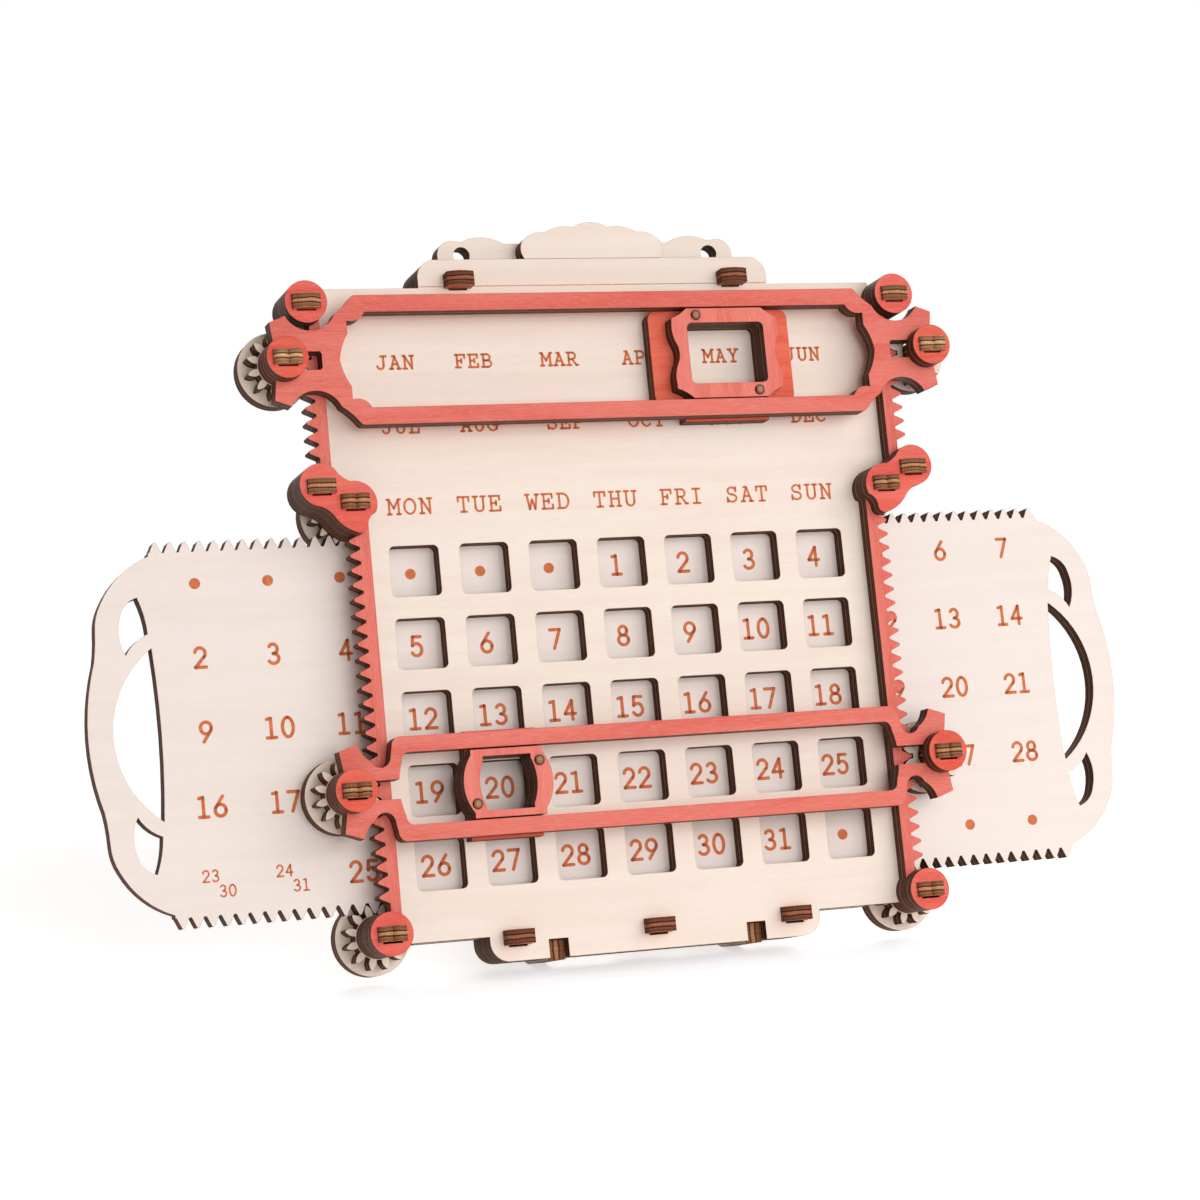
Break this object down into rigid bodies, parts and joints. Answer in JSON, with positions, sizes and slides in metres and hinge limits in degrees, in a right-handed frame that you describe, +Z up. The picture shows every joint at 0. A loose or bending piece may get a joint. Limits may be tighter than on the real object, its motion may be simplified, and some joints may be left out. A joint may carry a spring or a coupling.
{
  "type": "sliding desk calendar",
  "caption": "Leaning wooden perpetual calendar: a geared number plate slides behind a windowed panel, and two rack-guided cursor frames with sliders mark month and date.",
  "frame": {"origin": "on the desk, under the middle of the calendar's width and depth", "axes": "+X to the reader's right, +Y away from the reader, +Z up; the face leans back 16 degrees"},
  "size_m": [0.238, 0.07, 0.1601],
  "materials": {
    "pale_ply": "bare basswood plywood",
    "red_ply": "coral stained plywood",
    "peg_ply": "laser browned plywood edge"
  },
  "bodies": {
    "body": {"front_panel": "pale_ply", "crest_plate": "pale_ply", "name_plate": "pale_ply", "back_panel": "pale_ply", "lip_spacer": "pale_ply", "left_rack": "red_ply", "right_rack": "red_ply", "left_bracket_cap": "red_ply", "right_bracket_cap": "red_ply", "top_left_corner_cap": "red_ply", "top_right_corner_cap": "red_ply", "bottom_left_corner_cap": "red_ply", "bottom_right_corner_cap": "red_ply", "rack_pegs": "peg_ply", "stack_pegs": "peg_ply", "plate_axle_pegs": "peg_ply", "left_stand_leg": "pale_ply", "right_stand_leg": "pale_ply", "stand_tie": "pale_ply"},
    "date_plate": {"date_plate": "pale_ply"},
    "plate_upper_left_gear": {"plate_upper_left_gear": "pale_ply", "plate_upper_left_gear_flange": "pale_ply"},
    "plate_upper_right_gear": {"plate_upper_right_gear": "pale_ply", "plate_upper_right_gear_flange": "pale_ply"},
    "plate_lower_left_gear": {"plate_lower_left_gear": "pale_ply", "plate_lower_left_gear_flange": "pale_ply"},
    "plate_lower_right_gear": {"plate_lower_right_gear": "pale_ply", "plate_lower_right_gear_flange": "pale_ply"},
    "month_cursor": {"month_frame": "red_ply", "month_left_knob": "red_ply", "month_right_knob": "red_ply", "month_axle_pegs": "peg_ply"},
    "month_left_gear": {"month_left_gear": "pale_ply", "month_left_gear_flange": "pale_ply"},
    "month_right_gear": {"month_right_gear": "pale_ply", "month_right_gear_flange": "pale_ply"},
    "date_cursor": {"date_frame": "red_ply", "date_left_knob": "red_ply", "date_right_knob": "red_ply", "date_axle_pegs": "peg_ply"},
    "date_left_gear": {"date_left_gear": "pale_ply", "date_left_gear_flange": "pale_ply"},
    "date_right_gear": {"date_right_gear": "pale_ply", "date_right_gear_flange": "pale_ply"},
    "month_slider": {"month_slider_base": "red_ply", "month_slider_front": "red_ply", "month_slider_dowels": "peg_ply"},
    "date_slider": {"date_slider_base": "red_ply", "date_slider_front": "red_ply", "date_slider_dowels": "peg_ply"}
  },
  "joints": [
    {"name": "date_plate_slide", "type": "slide", "parent": "body", "child": "date_plate", "axis": [1, 0, 0], "range_m": [-0.04712, 0.04712]},
    {"name": "plate_upper_left_gear_turn", "type": "hinge", "parent": "body", "child": "plate_upper_left_gear", "pos_m": [-0.06126, 0.00389, 0.09879], "axis": [0, 0.9613, -0.2756], "range_deg": [-450.2, 450.2]},
    {"name": "plate_upper_right_gear_turn", "type": "hinge", "parent": "body", "child": "plate_upper_right_gear", "pos_m": [0.06126, 0.00389, 0.09879], "axis": [0, 0.9613, -0.2756], "range_deg": [-450.2, 450.2]},
    {"name": "plate_lower_left_gear_turn", "type": "hinge", "parent": "body", "child": "plate_lower_left_gear", "pos_m": [-0.06126, -0.0212, 0.01131], "axis": [0, 0.9613, -0.2756], "range_deg": [-450.2, 450.2]},
    {"name": "plate_lower_right_gear_turn", "type": "hinge", "parent": "body", "child": "plate_lower_right_gear", "pos_m": [0.06126, -0.0212, 0.01131], "axis": [0, 0.9613, -0.2756], "range_deg": [-450.2, 450.2]},
    {"name": "month_cursor_slide", "type": "slide", "parent": "body", "child": "month_cursor", "axis": [0, 0.2756, 0.9613], "range_m": [-0.0128, 0]},
    {"name": "month_left_gear_turn", "type": "hinge", "parent": "month_cursor", "child": "month_left_gear", "pos_m": [-0.07426, 0.00441, 0.13037], "axis": [0, 0.9613, -0.2756], "range_deg": [-122.43, 0]},
    {"name": "month_right_gear_turn", "type": "hinge", "parent": "month_cursor", "child": "month_right_gear", "pos_m": [0.07426, 0.00441, 0.13037], "axis": [0, 0.9613, -0.2756], "range_deg": [0, 122.43]},
    {"name": "date_cursor_slide", "type": "slide", "parent": "body", "child": "date_cursor", "axis": [0, 0.2756, 0.9613], "range_m": [-0.01571, 0.04712]},
    {"name": "date_left_gear_turn", "type": "hinge", "parent": "date_cursor", "child": "date_left_gear", "pos_m": [-0.06726, -0.02087, 0.04221], "axis": [0, 0.9613, -0.2756], "range_deg": [-150.2, 450.2]},
    {"name": "date_right_gear_turn", "type": "hinge", "parent": "date_cursor", "child": "date_right_gear", "pos_m": [0.06726, -0.02087, 0.04221], "axis": [0, 0.9613, -0.2756], "range_deg": [-450.2, 150.2]},
    {"name": "month_slider_slide", "type": "slide", "parent": "month_cursor", "child": "month_slider", "axis": [1, 0, 0], "range_m": [-0.0725, 0.0195]},
    {"name": "date_slider_slide", "type": "slide", "parent": "date_cursor", "child": "date_slider", "axis": [1, 0, 0], "range_m": [-0.0134, 0.0796]}
  ],
  "couplings": [
    {"joint": "plate_upper_left_gear_turn", "follows": "date_plate_slide", "rad_per_m": -166.67},
    {"joint": "plate_upper_right_gear_turn", "follows": "date_plate_slide", "rad_per_m": -166.67},
    {"joint": "plate_lower_left_gear_turn", "follows": "date_plate_slide", "rad_per_m": 166.67},
    {"joint": "plate_lower_right_gear_turn", "follows": "date_plate_slide", "rad_per_m": 166.67},
    {"joint": "month_left_gear_turn", "follows": "month_cursor_slide", "rad_per_m": 166.67},
    {"joint": "month_right_gear_turn", "follows": "month_cursor_slide", "rad_per_m": -166.67},
    {"joint": "date_left_gear_turn", "follows": "date_cursor_slide", "rad_per_m": 166.67},
    {"joint": "date_right_gear_turn", "follows": "date_cursor_slide", "rad_per_m": -166.67}
  ]
}
